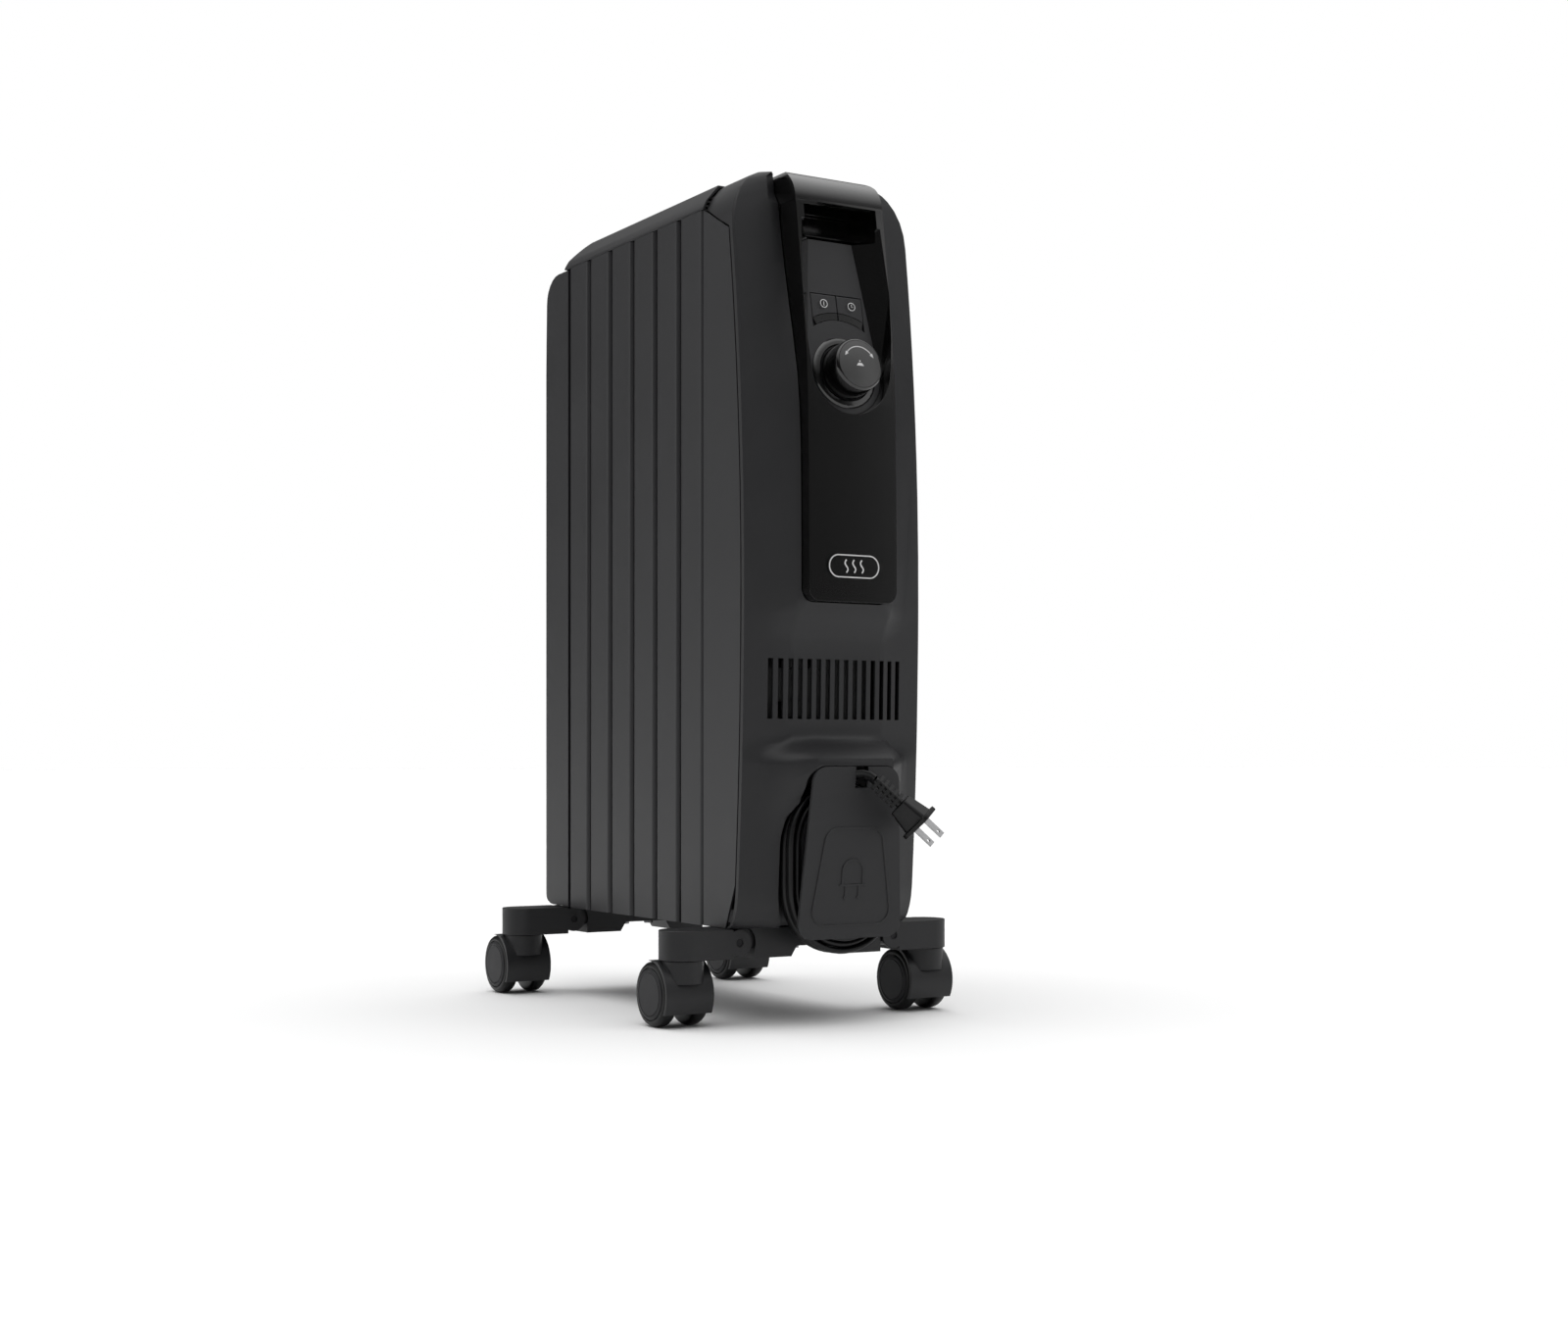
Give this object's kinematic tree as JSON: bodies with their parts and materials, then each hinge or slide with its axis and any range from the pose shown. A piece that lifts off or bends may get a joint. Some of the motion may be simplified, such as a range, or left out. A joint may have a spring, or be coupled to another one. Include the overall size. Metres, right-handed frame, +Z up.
{
  "type": "oil filled radiator heater",
  "caption": "Tall free-standing oil filled radiator with flat side panels, front control strip with knob, two keys and handle, wound mains cord and fold-out feet on twin-wheel castors.",
  "frame": {"origin": "centre of the footprint on the floor", "axes": "+Z up, the control face looks along -Y, +X to the right seen from the front, lengths in metres"},
  "size_m": [0.2654, 0.4431, 0.657],
  "materials": {
    "satin_paint": "satin charcoal metallic paint",
    "charcoal_plastic": "fine satin charcoal",
    "gloss_black": "high gloss",
    "dark_panel": "satin",
    "knob_grey": "satin grey face, black side",
    "bright_trim": "polished",
    "circuit_board": "laminate",
    "cord_rubber": "soft black",
    "brass_blades": "plain",
    "steel": "plain",
    "pale_plastic": "plain",
    "tyre_and_hub": "black tread with a grey hub cap"
  },
  "bodies": {
    "heater": {"fin_1": "satin_paint", "fin_2": "satin_paint", "fin_3": "satin_paint", "fin_4": "satin_paint", "fin_5": "satin_paint", "fin_6": "satin_paint", "top_frame": "charcoal_plastic", "rear_cover": "charcoal_plastic", "front_collar": "satin_paint", "front_cover": "charcoal_plastic", "heat_shield": "steel", "control_fascia": "gloss_black", "handle_bar": "gloss_black", "handle_pocket": "gloss_black", "display_panel": "dark_panel", "knob_ring": "bright_trim", "rotary_encoder": "steel", "control_board": "circuit_board", "power_board": "circuit_board", "badge": "bright_trim", "heating_element": "steel", "element_gasket": "cord_rubber", "thermal_cutout": "pale_plastic", "filler_plug": "steel", "cord_gland": "cord_rubber", "cord_wrap_post": "charcoal_plastic", "cord_cover": "charcoal_plastic", "cover_screws": "steel", "cord_coil": "cord_rubber", "cord_tail": "cord_rubber", "plug_strain_relief": "cord_rubber", "plug_body": "cord_rubber", "plug_blades": "brass_blades", "front_foot_bar": "charcoal_plastic", "rear_foot_bar": "charcoal_plastic", "fold_pins": "steel", "foot_screws": "steel"},
    "power_key": {"power_key": "dark_panel"},
    "timer_key": {"timer_key": "dark_panel"},
    "knob": {"thermostat_knob": "knob_grey"},
    "front_left_arm": {"front_left_arm": "charcoal_plastic"},
    "front_left_castor": {"front_left_hood": "charcoal_plastic", "front_left_axle": "steel"},
    "front_left_wheel_out": {"front_left_wheel_out": "tyre_and_hub"},
    "front_left_wheel_in": {"front_left_wheel_in": "tyre_and_hub"},
    "front_right_arm": {"front_right_arm": "charcoal_plastic"},
    "front_right_castor": {"front_right_hood": "charcoal_plastic", "front_right_axle": "steel"},
    "front_right_wheel_out": {"front_right_wheel_out": "tyre_and_hub"},
    "front_right_wheel_in": {"front_right_wheel_in": "tyre_and_hub"},
    "rear_left_arm": {"rear_left_arm": "charcoal_plastic"},
    "rear_left_castor": {"rear_left_hood": "charcoal_plastic", "rear_left_axle": "steel"},
    "rear_left_wheel_out": {"rear_left_wheel_out": "tyre_and_hub"},
    "rear_left_wheel_in": {"rear_left_wheel_in": "tyre_and_hub"},
    "rear_right_arm": {"rear_right_arm": "charcoal_plastic"},
    "rear_right_castor": {"rear_right_hood": "charcoal_plastic", "rear_right_axle": "steel"},
    "rear_right_wheel_out": {"rear_right_wheel_out": "tyre_and_hub"},
    "rear_right_wheel_in": {"rear_right_wheel_in": "tyre_and_hub"}
  },
  "joints": [
    {"name": "knob_turn", "type": "hinge", "parent": "heater", "child": "knob", "pos_m": [0, -0.17855, 0.5], "axis": [0, -0.9816, 0.1908], "range_deg": [-135, 135]},
    {"name": "power_press", "type": "hinge", "parent": "heater", "child": "power_key", "pos_m": [0, -0.16554, 0.56038], "axis": [1, 0, 0], "range_deg": [0, 3], "stiffness_Nm_per_rad": 0.6, "springref_deg": -1.15},
    {"name": "timer_press", "type": "hinge", "parent": "heater", "child": "timer_key", "pos_m": [0, -0.16554, 0.56038], "axis": [1, 0, 0], "range_deg": [0, 3], "stiffness_Nm_per_rad": 0.6, "springref_deg": -1.15},
    {"name": "front_left_fold", "type": "hinge", "parent": "heater", "child": "front_left_arm", "pos_m": [-0.071, -0.12425, 0.064], "axis": [0, -1, 0], "range_deg": [0, 90]},
    {"name": "front_left_swivel", "type": "hinge", "parent": "front_left_arm", "child": "front_left_castor", "pos_m": [-0.1117, -0.12425, 0.045], "axis": [0, 0, 1], "continuous": true},
    {"name": "front_left_roll_out", "type": "hinge", "parent": "front_left_castor", "child": "front_left_wheel_out", "pos_m": [-0.1262, -0.10945, 0.025], "axis": [1, 0, 0], "continuous": true},
    {"name": "front_left_roll_in", "type": "hinge", "parent": "front_left_castor", "child": "front_left_wheel_in", "pos_m": [-0.0972, -0.10945, 0.025], "axis": [1, 0, 0], "continuous": true},
    {"name": "front_right_fold", "type": "hinge", "parent": "heater", "child": "front_right_arm", "pos_m": [0.071, -0.12425, 0.064], "axis": [0, 1, 0], "range_deg": [0, 90]},
    {"name": "front_right_swivel", "type": "hinge", "parent": "front_right_arm", "child": "front_right_castor", "pos_m": [0.1117, -0.12425, 0.045], "axis": [0, 0, 1], "continuous": true},
    {"name": "front_right_roll_out", "type": "hinge", "parent": "front_right_castor", "child": "front_right_wheel_out", "pos_m": [0.1262, -0.10945, 0.025], "axis": [1, 0, 0], "continuous": true},
    {"name": "front_right_roll_in", "type": "hinge", "parent": "front_right_castor", "child": "front_right_wheel_in", "pos_m": [0.0972, -0.10945, 0.025], "axis": [1, 0, 0], "continuous": true},
    {"name": "rear_left_fold", "type": "hinge", "parent": "heater", "child": "rear_left_arm", "pos_m": [-0.071, 0.16455, 0.064], "axis": [0, -1, 0], "range_deg": [0, 90]},
    {"name": "rear_left_swivel", "type": "hinge", "parent": "rear_left_arm", "child": "rear_left_castor", "pos_m": [-0.1117, 0.16455, 0.045], "axis": [0, 0, 1], "continuous": true},
    {"name": "rear_left_roll_out", "type": "hinge", "parent": "rear_left_castor", "child": "rear_left_wheel_out", "pos_m": [-0.1262, 0.17935, 0.025], "axis": [1, 0, 0], "continuous": true},
    {"name": "rear_left_roll_in", "type": "hinge", "parent": "rear_left_castor", "child": "rear_left_wheel_in", "pos_m": [-0.0972, 0.17935, 0.025], "axis": [1, 0, 0], "continuous": true},
    {"name": "rear_right_fold", "type": "hinge", "parent": "heater", "child": "rear_right_arm", "pos_m": [0.071, 0.16455, 0.064], "axis": [0, 1, 0], "range_deg": [0, 90]},
    {"name": "rear_right_swivel", "type": "hinge", "parent": "rear_right_arm", "child": "rear_right_castor", "pos_m": [0.1117, 0.16455, 0.045], "axis": [0, 0, 1], "continuous": true},
    {"name": "rear_right_roll_out", "type": "hinge", "parent": "rear_right_castor", "child": "rear_right_wheel_out", "pos_m": [0.1262, 0.17935, 0.025], "axis": [1, 0, 0], "continuous": true},
    {"name": "rear_right_roll_in", "type": "hinge", "parent": "rear_right_castor", "child": "rear_right_wheel_in", "pos_m": [0.0972, 0.17935, 0.025], "axis": [1, 0, 0], "continuous": true}
  ]
}
